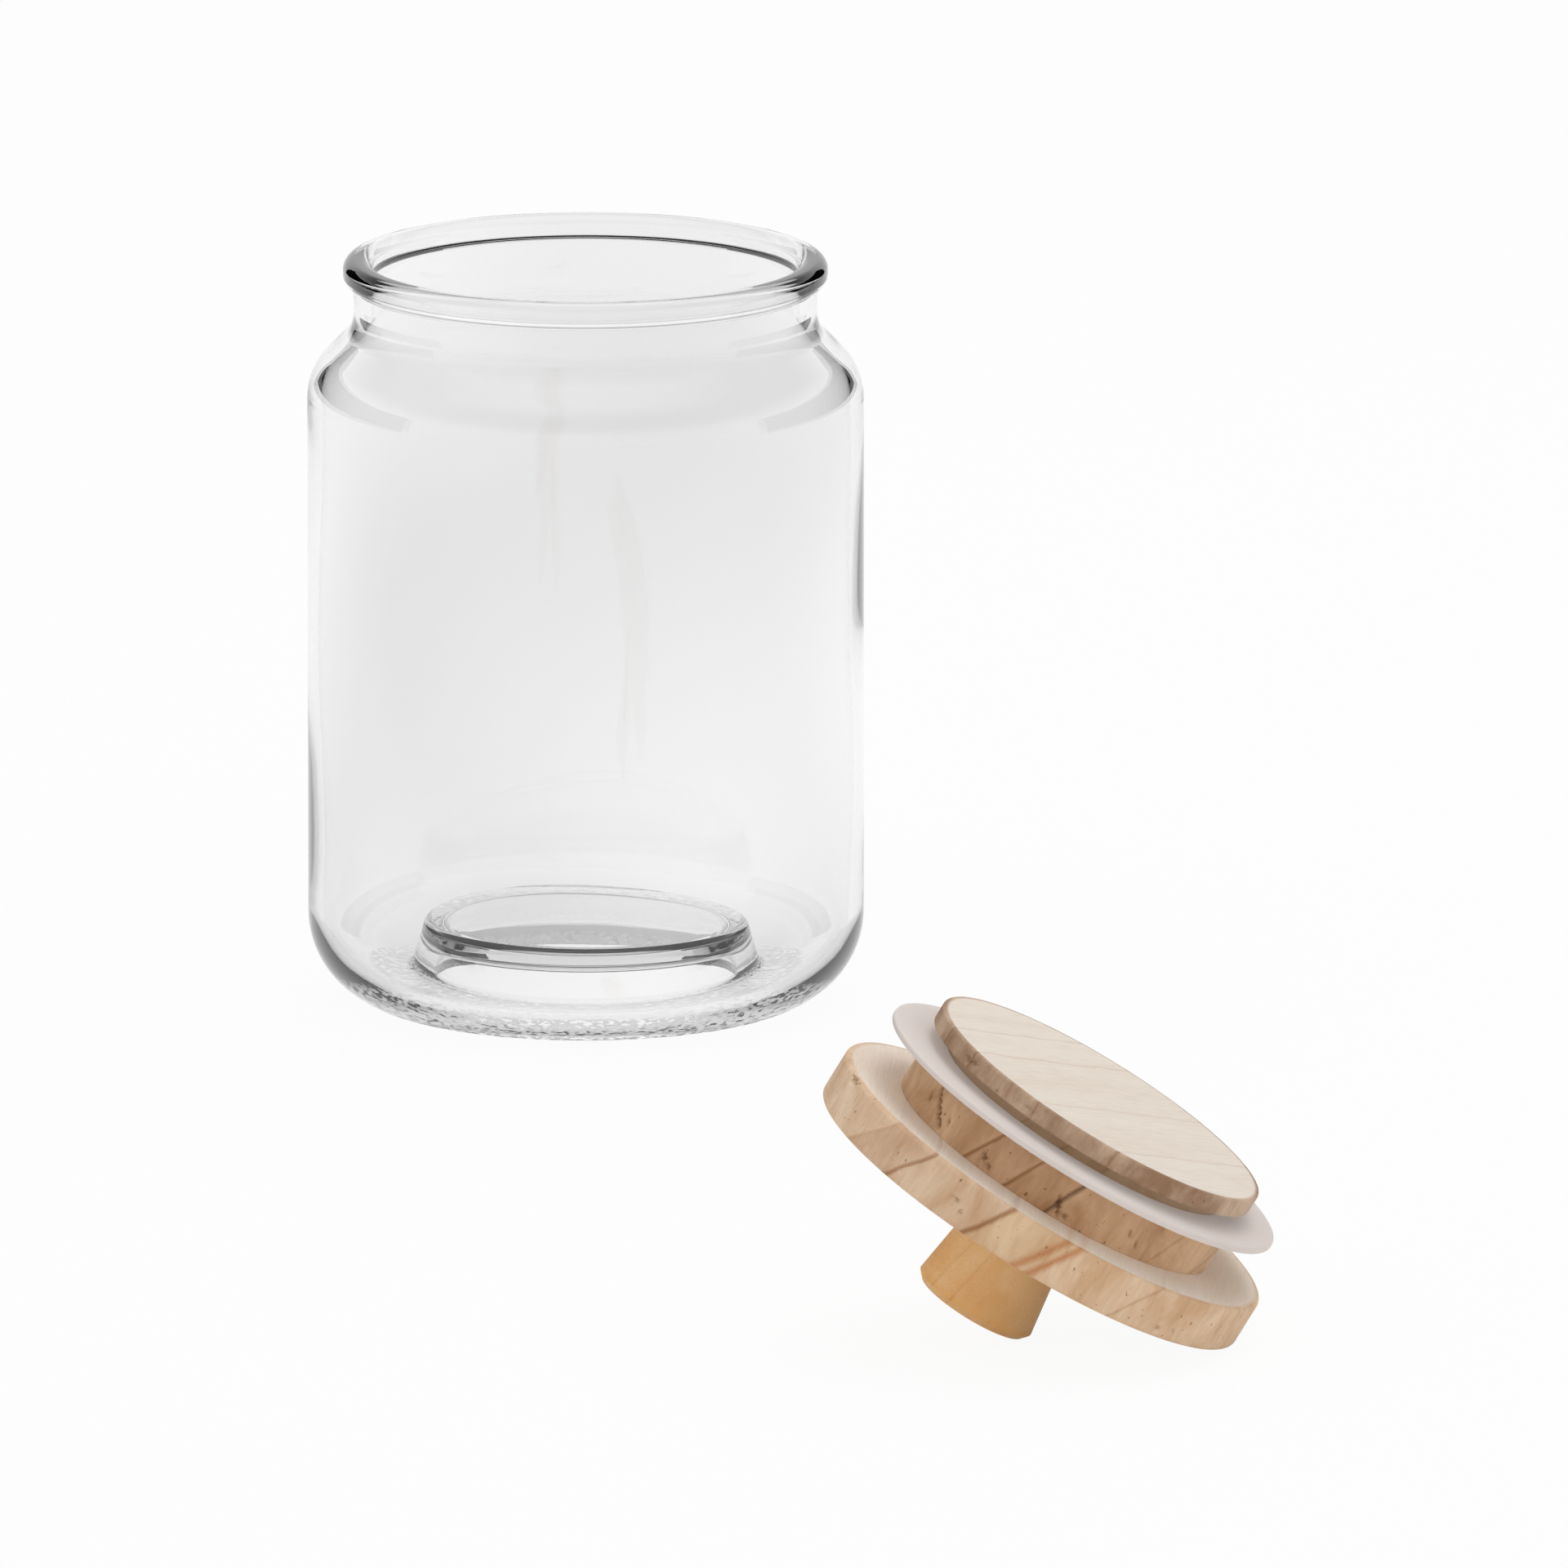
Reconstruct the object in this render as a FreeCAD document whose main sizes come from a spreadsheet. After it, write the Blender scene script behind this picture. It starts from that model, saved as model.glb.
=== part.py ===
import FreeCAD, Part
import math
import os
import Sketcher

# Food canister: a glass jar on its base, with its wooden lid taken off and lying upside down in front of it.
# Millimetres. The origin is the middle of the jar's base, on the table, and +Z is up.

doc = FreeCAD.newDocument("food_canister")

# Driving dimensions
DRIVING = {
    # Jar, outside
    "body_radius": 52.5,
    "jar_height": 143.0,
    "heel_radius": 17.5,
    "shoulder_width": 8.8,
    "shoulder_angle": 45.0,
    "shoulder_radius": 12.2,
    "neck_length": 8.2,
    "neck_fillet": 5.6,
    "rim_overhang": 2.0,
    "rim_depth": 4.9,
    "rim_round": 2.3,
    "rim_underside_round": 1.8,
    # Jar, inside and underneath
    "wall": 2.6,
    "neck_wall": 3.5,
    "floor_height": 4.5,
    "inside_heel_radius": 14.0,
    "kick_inset": 19.0,
    "kick_height": 11.5,
    "kick_angle": 75.0,
    "kick_round": 1.8,
    "bearing_width": 5.0,
    "bearing_chamfer": 1.2,
    "recess_depth": 11.0,
    # Lid boards
    "cover_set_in": 1.7,
    "cover_thickness": 9.2,
    "cover_chamfer": 0.6,
    "plug_gap": 7.6,
    "plug_height": 9.6,
    "spigot_step": 3.8,
    "retainer_overhang": 1.0,
    "retainer_thickness": 3.6,
    "retainer_chamfer": 0.4,
    # Sealing ring
    "ring_squeeze": 0.2,
    "ring_clearance": 0.3,
    "ring_thickness": 1.2,
    "ring_play": 2.4,
    "ring_chamfer": 0.3,
    # Knob and its screw
    "knob_height": 19.8,
    "knob_end_radius": 12.0,
    "knob_flare": 2.8,
    "knob_chamfer": 1.4,
    "screw_radius": 1.75,
    "screw_point": 4.0,
    "screw_end_cover": 4.2,
    "screw_head_radius": 3.5,
    "screw_head_sunk": 0.2,
    "screw_hole_clearance": 0.3,
    "driver_slot_half_length": 1.9,
    "driver_slot_half_width": 0.45,
    "driver_slot_depth": 1.3,
    # Where the lid lies
    "lid_across": 86.6,
    "lid_forward": 290.2,
    "lid_turn": 2.9,
}

dims = doc.addObject("Spreadsheet::Sheet", "dims")
for row, (alias, value) in enumerate(DRIVING.items(), start=1):
    dims.set(f"A{row}", alias)
    dims.set(f"B{row}", str(value))
    dims.setAlias(f"B{row}", alias)
doc.recompute()


def size(alias):
    """One driving dimension, read back from the sheet."""
    return float(dims.get(alias))


def new_body(label):
    """An empty body for one piece."""
    body = doc.addObject("PartDesign::Body", label)
    body.Label = label
    return body


def rounded(corner, heading, turn, radius, chords):
    """The points of a rounded corner, drawn as equal chords of the arc that touches both sides.

    The outline arrives along the heading, in degrees from the first axis, and turns left by a positive turn.
    """
    across, up = corner
    side = -1 if turn.startswith("-") else 1
    bend = f"({side} * ({radius}))"
    back = f"(({radius}) * tan({side} * ({turn}) / 2))"
    points = []
    for chord in range(chords + 1):
        facing = f"({heading} + ({turn}) * {chord} / {chords})"
        points.append((
            f"{across} - {back} * cos({heading}) + {bend} * (sin{facing} - sin({heading}))",
            f"{up} - {back} * sin({heading}) + {bend} * (cos({heading}) - cos{facing})",
        ))
    return points


def outline(body, name, plane, corners, height=None):
    """A closed sketch of straight lines on one of the body's own planes.

    Each corner is a pair of sheet expressions, and zero means on the axis of the plane.
    """
    sketch = body.newObject("Sketcher::SketchObject", name)
    support = next(item for item in body.Origin.OriginFeatures if item.Role == plane)
    sketch.AttachmentSupport = (support, [""])
    sketch.MapMode = "FlatFace"
    if height is not None:
        sketch.setExpression("AttachmentOffset.Base.z", height)
    count = len(corners)
    # Rough starting places round a circle: the bound sizes then put every corner where it belongs
    turns = [2 * math.pi * index / count for index in range(count)]
    starts = [FreeCAD.Vector(30 + 20 * math.cos(turn), 30 + 20 * math.sin(turn), 0) for turn in turns]
    for index in range(count):
        sketch.addGeometry(Part.LineSegment(starts[index], starts[(index + 1) % count]))
    for index in range(count):
        sketch.addConstraint(Sketcher.Constraint("Coincident", index, 2, (index + 1) % count, 1))
    for index, (across, up) in enumerate(corners):
        for kind, axis, expression, start in (
            ("DistanceX", -2, across, starts[index].x),
            ("DistanceY", -1, up, starts[index].y),
        ):
            if expression == "0":
                sketch.addConstraint(Sketcher.Constraint("PointOnObject", index, 1, axis))
                continue
            number = sketch.addConstraint(Sketcher.Constraint(kind, -1, 1, index, 1, start))
            sketch.setExpression(f"Constraints[{number}]", expression)
    doc.recompute()
    return sketch


def turned(body, name, corners):
    """A solid turned about the body's Z axis from a half section."""
    sketch = outline(body, f"{name}_section", "XZ_Plane", corners)
    feature = body.newObject("PartDesign::Revolution", name)
    feature.Profile = sketch
    feature.ReferenceAxis = (sketch, ["V_Axis"])
    feature.Angle = 360
    doc.recompute()
    return sketch


def turned_away(body, name, corners):
    """A hollow turned out of the body about its Z axis."""
    volume_before = body.Shape.Volume
    sketch = outline(body, f"{name}_section", "XZ_Plane", corners)
    feature = body.newObject("PartDesign::Groove", name)
    feature.Profile = sketch
    feature.ReferenceAxis = (sketch, ["V_Axis"])
    feature.Angle = 360
    doc.recompute()
    if body.Shape.Volume > 0.9999 * volume_before:
        raise RuntimeError(f"{name} removed nothing")
    return sketch


def chamfered(body, name, expression, corners):
    """A chamfer on the round edges that the given corners of turned sections drew."""
    base = body.Tip
    names = []
    for sketch, index in corners:
        spot = sketch.getPoint(index, 1)
        for number, edge in enumerate(base.Shape.Edges, start=1):
            if not isinstance(edge.Curve, Part.Circle):
                continue
            off_radius = abs(edge.Curve.Radius - spot.x)
            off_height = abs(edge.Curve.Center.z - spot.y)
            if off_radius < 1e-4 and off_height < 1e-4:
                names.append(f"Edge{number}")
    if len(names) != len(corners):
        raise RuntimeError(f"{name} found {len(names)} of its {len(corners)} edges")
    volume_before = body.Shape.Volume
    feature = body.newObject("PartDesign::Chamfer", name)
    feature.Base = (base, names)
    feature.setExpression("Size", expression)
    doc.recompute()
    if body.Shape.Volume >= volume_before:
        raise RuntimeError(f"{name} removed nothing")


# Glass jar: pressed in one piece, with a wall that keeps its thickness round the shoulder
jar = new_body("glass_jar")
NECK_RADIUS = "dims.body_radius - dims.shoulder_width"
RIM_RADIUS = f"{NECK_RADIUS} + dims.rim_overhang"
RIM_FOOT = "dims.jar_height - dims.rim_depth"
NECK_HEIGHT = f"{RIM_FOOT} - dims.neck_length"
SHOULDER_HEIGHT = f"{NECK_HEIGHT} - dims.shoulder_width / tan(dims.shoulder_angle)"
UPHILL = "90 + dims.shoulder_angle"
turned(jar, "jar_outside", [
    ("0", "0"),
    *rounded(("dims.body_radius", "0"), "0", "90", "dims.heel_radius", 7),
    *rounded(("dims.body_radius", SHOULDER_HEIGHT), "90", "dims.shoulder_angle", "dims.shoulder_radius", 2),
    *rounded((NECK_RADIUS, NECK_HEIGHT), UPHILL, "-dims.shoulder_angle", "dims.neck_fillet", 2),
    (NECK_RADIUS, RIM_FOOT),
    *rounded((RIM_RADIUS, RIM_FOOT), "0", "90", "dims.rim_underside_round", 2),
    *rounded((RIM_RADIUS, "dims.jar_height"), "90", "90", "dims.rim_round", 2),
    ("0", "dims.jar_height"),
])

# The inside runs parallel to the outside, so its shoulder corner sits lower by the wall's share of the turn
INSIDE_RADIUS = "dims.body_radius - dims.wall"
MOUTH_RADIUS = f"{NECK_RADIUS} - dims.neck_wall"
INSIDE_SHOULDER = f"{SHOULDER_HEIGHT} - dims.wall * tan(dims.shoulder_angle / 2)"
INSIDE_NECK = f"{INSIDE_SHOULDER} + ({INSIDE_RADIUS} - ({MOUTH_RADIUS})) / tan(dims.shoulder_angle)"
KICK_FOOT = "dims.body_radius - dims.kick_inset"
KICK_TOP = f"{KICK_FOOT} - dims.kick_height / tan(dims.kick_angle)"
KICK_HEIGHT = "dims.floor_height + dims.kick_height"
turned_away(jar, "jar_inside", [
    ("0", KICK_HEIGHT),
    *rounded((KICK_TOP, KICK_HEIGHT), "0", "-dims.kick_angle", "dims.kick_round", 1),
    *rounded((KICK_FOOT, "dims.floor_height"), "-dims.kick_angle", "dims.kick_angle", "dims.kick_round", 1),
    *rounded((INSIDE_RADIUS, "dims.floor_height"), "0", "90", "dims.inside_heel_radius", 5),
    *rounded((INSIDE_RADIUS, INSIDE_SHOULDER), "90", "dims.shoulder_angle",
             "dims.shoulder_radius - dims.wall", 2),
    *rounded((MOUTH_RADIUS, INSIDE_NECK), UPHILL, "-dims.shoulder_angle",
             "dims.neck_fillet + dims.neck_wall", 2),
    *rounded((MOUTH_RADIUS, "dims.jar_height"), "90", "-90", "dims.rim_round", 2),
    ("0", "dims.jar_height"),
])

# The underside is hollowed below the kick, so the jar stands on a ring
RECESS_RADIUS = "dims.body_radius - dims.heel_radius - dims.bearing_width"
RECESS_TOP = f"{RECESS_RADIUS} - dims.recess_depth / tan(dims.kick_angle)"
jar_recess = turned_away(jar, "jar_recess", [
    ("0", "0"),
    (RECESS_RADIUS, "0"),
    *rounded((RECESS_TOP, "dims.recess_depth"), "180 - dims.kick_angle", "dims.kick_angle",
             "dims.kick_round", 1),
    ("0", "dims.recess_depth"),
])
chamfered(jar, "bearing_edge", "dims.bearing_chamfer", [(jar_recess, 1)])

# The lid's pieces share one axis. Height zero is the cover's inner face, and up is towards the inside of the jar.

# Cover: the board that rests on the rim, bored and countersunk for the knob's screw
cover = new_body("lid_cover")
COVER_RADIUS = f"{RIM_RADIUS} - dims.cover_set_in"
HOLE_RADIUS = "dims.screw_radius + dims.screw_hole_clearance"
SINK_RADIUS = "dims.screw_head_radius + dims.screw_head_sunk"
cover_board = turned(cover, "cover_board", [
    ("0", "-dims.cover_thickness"),
    (COVER_RADIUS, "-dims.cover_thickness"),
    (COVER_RADIUS, "0"),
    ("0", "0"),
])
turned_away(cover, "screw_way", [
    ("0", "-dims.cover_thickness"),
    (HOLE_RADIUS, "-dims.cover_thickness"),
    (HOLE_RADIUS, f"{HOLE_RADIUS} - ({SINK_RADIUS})"),
    (SINK_RADIUS, "0"),
    ("0", "0"),
])
chamfered(cover, "cover_edges", "dims.cover_chamfer", [(cover_board, 1), (cover_board, 2)])

# Plug: the board glued under the cover, turned down to a spigot for the sealing ring
plug = new_body("lid_plug")
PLUG_RADIUS = f"{MOUTH_RADIUS} - dims.plug_gap"
SPIGOT_RADIUS = f"{PLUG_RADIUS} - dims.spigot_step"
SPIGOT_END = "dims.plug_height + dims.ring_thickness + dims.ring_play"
turned(plug, "plug_board", [
    ("0", "0"),
    (PLUG_RADIUS, "0"),
    (PLUG_RADIUS, "dims.plug_height"),
    (SPIGOT_RADIUS, "dims.plug_height"),
    (SPIGOT_RADIUS, SPIGOT_END),
    ("0", SPIGOT_END),
])

# Sealing ring: lies loose on the plug's shoulder, and is wider than the mouth by the squeeze that seals it
ring = new_body("sealing_ring")
RING_TOP = "dims.plug_height + dims.ring_thickness"
RING_INSIDE = f"{SPIGOT_RADIUS} + dims.ring_clearance"
RING_OUTSIDE = f"{MOUTH_RADIUS} + dims.ring_squeeze"
ring_section = turned(ring, "ring_blank", [
    (RING_INSIDE, "dims.plug_height"),
    (RING_OUTSIDE, "dims.plug_height"),
    (RING_OUTSIDE, RING_TOP),
    (RING_INSIDE, RING_TOP),
])
chamfered(ring, "ring_edges", "dims.ring_chamfer", [(ring_section, 1), (ring_section, 2)])

# Retainer: the thin board glued on the spigot's end, which keeps the ring on
retainer = new_body("lid_retainer")
RETAINER_RADIUS = f"{PLUG_RADIUS} + dims.retainer_overhang"
RETAINER_TOP = f"{SPIGOT_END} + dims.retainer_thickness"
retainer_section = turned(retainer, "retainer_board", [
    ("0", SPIGOT_END),
    (RETAINER_RADIUS, SPIGOT_END),
    (RETAINER_RADIUS, RETAINER_TOP),
    ("0", RETAINER_TOP),
])
chamfered(retainer, "retainer_edges", "dims.retainer_chamfer",
          [(retainer_section, 1), (retainer_section, 2)])

# Knob: tapers towards the cover, with a pilot hole that the screw's thread fills
knob = new_body("knob")
KNOB_ROOT = "-dims.cover_thickness"
KNOB_END = "-dims.cover_thickness - dims.knob_height"
SCREW_TOP = "-dims.screw_head_sunk"
SCREW_TIP = f"{KNOB_END} + dims.screw_end_cover"
knob_section = turned(knob, "knob_blank", [
    ("0", KNOB_END),
    ("dims.knob_end_radius", KNOB_END),
    ("dims.knob_end_radius - dims.knob_flare", KNOB_ROOT),
    ("0", KNOB_ROOT),
])
turned_away(knob, "pilot_hole", [
    ("0", SCREW_TIP),
    ("dims.screw_radius", f"{SCREW_TIP} + dims.screw_point"),
    ("dims.screw_radius", KNOB_ROOT),
    ("0", KNOB_ROOT),
])
chamfered(knob, "knob_end_edge", "dims.knob_chamfer", [(knob_section, 1)])

# Screw: countersunk, driven through the cover into the knob and hidden by the plug
screw = new_body("knob_screw")
turned(screw, "screw_blank", [
    ("0", SCREW_TIP),
    ("dims.screw_radius", f"{SCREW_TIP} + dims.screw_point"),
    ("dims.screw_radius", f"{SCREW_TOP} - (dims.screw_head_radius - dims.screw_radius)"),
    ("dims.screw_head_radius", SCREW_TOP),
    ("0", SCREW_TOP),
])
LONG, NARROW = "dims.driver_slot_half_length", "dims.driver_slot_half_width"
driver_slot = outline(screw, "driver_slot_outline", "XY_Plane", [
    (LONG, NARROW),
    (NARROW, NARROW),
    (NARROW, LONG),
    (f"-{NARROW}", LONG),
    (f"-{NARROW}", NARROW),
    (f"-{LONG}", NARROW),
    (f"-{LONG}", f"-{NARROW}"),
    (f"-{NARROW}", f"-{NARROW}"),
    (f"-{NARROW}", f"-{LONG}"),
    (NARROW, f"-{LONG}"),
    (NARROW, f"-{NARROW}"),
    (LONG, f"-{NARROW}"),
], height=SCREW_TOP)
blank_volume = screw.Shape.Volume
driver_cut = screw.newObject("PartDesign::Pocket", "driver_slot")
driver_cut.Profile = driver_slot
driver_cut.setExpression("Length", "dims.driver_slot_depth")
doc.recompute()
if screw.Shape.Volume > 0.9999 * blank_volume:
    raise RuntimeError("the driver slot removed nothing")

LID = [cover, plug, ring, retainer, knob, screw]
PIECES = [jar] + LID


def lying_pose():
    """The lid upside down on the table, leaning on its knob's end edge and its cover's outer edge."""
    cover_radius = (size("body_radius") - size("shoulder_width") + size("rim_overhang")
                    - size("cover_set_in"))
    # Both touching edges are the ones where a chamfer meets a flat end
    cover_touch = cover_radius - size("cover_chamfer")
    knob_touch = size("knob_end_radius") - size("knob_chamfer")
    tilt = math.atan2(size("knob_height"), cover_touch - knob_touch)
    height = cover_touch * math.sin(tilt) + size("cover_thickness") * math.cos(tilt)
    lean = FreeCAD.Rotation(FreeCAD.Vector(0, 1, 0), math.degrees(tilt))
    turn = FreeCAD.Rotation(FreeCAD.Vector(0, 0, 1), -size("lid_turn"))
    place = FreeCAD.Vector(size("lid_across"), -size("lid_forward"), height)
    return FreeCAD.Placement(place, turn * lean)


def closed_pose():
    """The lid in the mouth, with the cover's inner face on the rim."""
    over = FreeCAD.Rotation(FreeCAD.Vector(1, 0, 0), 180)
    return FreeCAD.Placement(FreeCAD.Vector(0, 0, size("jar_height")), over)


# Every object has to be sound before anything is written
doc.recompute()
for item in doc.Objects:
    if "Invalid" in item.State or "Error" in item.State:
        raise RuntimeError(f"{item.Label} did not build")
for piece in PIECES:
    if piece.Shape.isNull() or not piece.Shape.isValid() or len(piece.Shape.Solids) != 1:
        raise RuntimeError(f"{piece.Label} is not one sound solid")

# Put on, the wooden pieces stay clear of the glass and only the ring is squeezed by it
for piece in LID:
    closed = piece.Shape.copy()
    closed.Placement = closed_pose()
    shared = jar.Shape.common(closed).Volume
    if piece is ring and shared <= 0:
        raise RuntimeError("the sealing ring does not reach the glass")
    if piece is not ring and shared > 0.01:
        raise RuntimeError(f"{piece.Label} meets the glass when the lid is on")

for piece in LID:
    piece.Placement = lying_pose()
doc.recompute()

os.makedirs("parts", exist_ok=True)
for piece in PIECES:
    box = piece.Shape.optimalBoundingBox(False)
    print(f"{piece.Label}: {piece.Shape.Volume:.0f} mm3, "
          f"x {box.XMin:.1f}..{box.XMax:.1f}, y {box.YMin:.1f}..{box.YMax:.1f}, z {box.ZMin:.2f}..{box.ZMax:.1f}")
    piece.Shape.exportStep(f"parts/{piece.Label}.step")
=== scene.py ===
import math

import bpy
import numpy as np
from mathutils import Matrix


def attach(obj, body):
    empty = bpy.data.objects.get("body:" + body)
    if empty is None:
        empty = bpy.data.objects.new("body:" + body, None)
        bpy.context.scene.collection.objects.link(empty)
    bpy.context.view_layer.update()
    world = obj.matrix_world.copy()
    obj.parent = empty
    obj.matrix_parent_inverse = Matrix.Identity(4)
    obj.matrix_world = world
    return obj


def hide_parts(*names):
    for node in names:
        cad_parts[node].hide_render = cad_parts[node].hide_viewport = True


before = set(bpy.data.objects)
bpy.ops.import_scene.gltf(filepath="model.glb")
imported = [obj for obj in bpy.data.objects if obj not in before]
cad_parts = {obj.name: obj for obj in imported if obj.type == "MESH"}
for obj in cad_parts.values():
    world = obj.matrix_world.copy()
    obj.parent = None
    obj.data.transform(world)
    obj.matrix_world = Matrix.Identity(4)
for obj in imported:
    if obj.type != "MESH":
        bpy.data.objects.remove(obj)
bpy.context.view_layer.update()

# Glass jar: one piece of clear glass, blown in a mould and polished by flame at its rolled rim.
# It stands on a stippled ring. Its floor rises to a kick, with a hollow underneath that follows it.
MM = 0.001
body_radius = 52.5 * MM
jar_height = 143.0 * MM
heel_round = 17.5 * MM
shoulder_width = 8.8 * MM
shoulder_round = 12.2 * MM
neck_length = 8.2 * MM
neck_round = 5.6 * MM
rim_overhang = 2.0 * MM
rim_depth = 4.9 * MM
rim_round = 2.3 * MM
rim_underside_round = 1.8 * MM
rim_neck_round = 0.7 * MM
glass_wall = 2.6 * MM
neck_wall = 3.5 * MM
floor_height = 4.5 * MM
inside_heel_round = 14.0 * MM
kick_foot_radius = 33.5 * MM
kick_height = 11.5 * MM
kick_slope = math.radians(75)
kick_round = 1.8 * MM
recess_radius = 30.0 * MM
recess_depth = 11.0 * MM
bearing_round = 1.2 * MM
stipple_count = 150
stipple_depth = 0.22 * MM
stipple_radius = 36.5 * MM
stipple_width = 1.6 * MM
stipple_height = 1.2 * MM
wall_waver = 0.16 * MM
waver_bottom, waver_bottom_fade = 12 * MM, 25 * MM
waver_top, waver_top_fade = 126 * MM, 20 * MM
foot_matt_height = 1.0 * MM
foot_clear_height = 3.0 * MM
foot_roughness = 0.7
axis_gap = 0.4 * MM


def rounded_section(corners, arc_step=math.radians(6)):
    """A half section through corners of (radius, height, round), as an array of points.

    Each arc touches both sides of its corner: it starts back from the corner by its round times
    the tangent of half the turn, and its points are the arm from the arc's centre, swung in equal
    steps over the turn.
    """
    corners = np.array(corners, float)
    spots = corners[:, :2]
    points = [spots[:1]]
    for before, here, after, bend in zip(spots[:-2], spots[1:-1], spots[2:], corners[1:-1, 2]):
        arrive = (here - before) / np.linalg.norm(here - before)
        leave = (after - here) / np.linalg.norm(after - here)
        turn = math.atan2(arrive[0] * leave[1] - arrive[1] * leave[0], arrive @ leave)
        start = here - arrive * bend * math.tan(abs(turn) / 2)
        arm = math.copysign(bend, turn) * np.array([arrive[1], -arrive[0]])
        swing = np.linspace(0, turn, max(2, math.ceil(abs(turn) / arc_step)) + 1)
        aside = np.array([-arm[1], arm[0]])
        points.append(start - arm + np.outer(np.cos(swing), arm) + np.outer(np.sin(swing), aside))
    points.append(spots[-1:])
    return np.vstack(points)


edge_share = 0.9


def spaced(section, longest, longest_at_edge):
    """The same section with points added evenly, so that no stretch is longer than the given length.

    Stretches that stay in the outer tenth of the radius take the length given for the edge.
    """
    runs = np.linalg.norm(np.diff(section, axis=0), axis=1)
    at_edge = np.minimum(section[:-1, 0], section[1:, 0]) > edge_share * section[:, 0].max()
    longest = np.where(at_edge, longest_at_edge, longest)
    along = np.concatenate([[0], np.cumsum(runs)])
    counts = np.maximum(1, np.ceil(runs / longest)).astype(int)
    stretches = zip(along[:-1], along[1:], counts)
    steps = [np.linspace(a, b, n, endpoint=False) for a, b, n in stretches if b > a]
    places = np.concatenate(steps + [along[-1:]])
    radius = np.interp(places, along, section[:, 0])
    height = np.interp(places, along, section[:, 1])
    return np.stack([radius, height], axis=1)


def turned_mesh(name, radius, angle, height, looped=False, to_frame=None):
    """A turned piece: the radius times the cosine and sine of the angle, at the height.

    Rows follow the section and columns go round the axis. A section that starts and ends beside the
    axis is closed by one point at each end, and a looped section joins its last row to its first.
    """
    rows, columns = radius.shape
    points = np.stack([radius * np.cos(angle), radius * np.sin(angle), height], axis=2).reshape(-1, 3)
    row = np.arange(rows if looped else rows - 1)[:, None]
    column = np.arange(columns)[None, :]
    onward, upward = (column + 1) % columns, (row + 1) % rows
    quads = np.stack([row * columns + column, row * columns + onward,
                      upward * columns + onward, upward * columns + column], axis=2).reshape(-1, 4)
    faces = quads.tolist()
    if not looped:
        ends = np.array([[0, 0, height[0].mean()], [0, 0, height[-1].mean()]])
        points = np.vstack([points, ends])
        first, last = column[0], column[0] + (rows - 1) * columns
        under, over = rows * columns, rows * columns + 1
        faces += np.stack([np.full(columns, under), np.roll(first, -1), first], axis=1).tolist()
        faces += np.stack([np.full(columns, over), last, np.roll(last, -1)], axis=1).tolist()
    if to_frame is not None:
        turn, place = to_frame
        points = points @ turn.T + place
    mesh = bpy.data.meshes.new(name)
    mesh.from_pydata(points.tolist(), [], faces)
    mesh.polygons.foreach_set("use_smooth", np.ones(len(mesh.polygons), bool))
    mesh.update()
    piece = bpy.data.objects.new(name, mesh)
    bpy.context.scene.collection.objects.link(piece)
    return piece


def tone(red, green, blue):
    """A colour given as screen values from 0 to 255, in the linear values that shaders take."""
    screen = np.array([red, green, blue]) / 255
    linear = np.where(screen <= 0.04045, screen / 12.92, ((screen + 0.055) / 1.055) ** 2.4)
    return (*linear.tolist(), 1.0)


def new_material(name):
    """A material with its shader and output, and functions to add a node and to join two sockets."""
    material = bpy.data.materials.new(name)
    material.use_nodes = True
    nodes = material.node_tree.nodes
    shader, output = nodes["Principled BSDF"], nodes["Material Output"]

    def add(kind, **settings):
        node = nodes.new(kind)
        for key, value in settings.items():
            setattr(node, key, value)
        return node

    return material, shader, output, add, material.node_tree.links.new


neck_radius = body_radius - shoulder_width
rim_radius = neck_radius + rim_overhang
mouth_radius = neck_radius - neck_wall
neck_height = jar_height - rim_depth - neck_length
shoulder_height = neck_height - shoulder_width
inside_radius = body_radius - glass_wall
inside_shoulder = shoulder_height - glass_wall * math.tan(math.radians(22.5))
inside_neck = inside_shoulder + inside_radius - mouth_radius
kick_top_radius = kick_foot_radius - kick_height / math.tan(kick_slope)
recess_top_radius = recess_radius - recess_depth / math.tan(kick_slope)
jar_spacing, jar_side_spacing, jar_columns = 2.0 * MM, 3.5 * MM, 320
jar_section = spaced(rounded_section([
    (axis_gap, recess_depth, 0),
    (recess_top_radius, recess_depth, kick_round),
    (recess_radius, 0, bearing_round),
    (body_radius, 0, heel_round),
    (body_radius, shoulder_height, shoulder_round),
    (neck_radius, neck_height, neck_round),
    (neck_radius, jar_height - rim_depth, rim_neck_round),
    (rim_radius, jar_height - rim_depth, rim_underside_round),
    (rim_radius, jar_height, rim_round),
    (mouth_radius, jar_height, rim_round),
    (mouth_radius, inside_neck, neck_round + neck_wall),
    (inside_radius, inside_shoulder, shoulder_round - glass_wall),
    (inside_radius, floor_height, inside_heel_round),
    (kick_foot_radius, floor_height, kick_round),
    (kick_top_radius, floor_height + kick_height, kick_round),
    (axis_gap, floor_height + kick_height, 0),
]), jar_spacing, jar_side_spacing)
jar_angle = np.linspace(0, 2 * math.pi, jar_columns, endpoint=False)[None, :]
jar_radius = jar_section[:, :1] + 0 * jar_angle
jar_up = jar_section[:, 1:] + 0 * jar_angle

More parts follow.
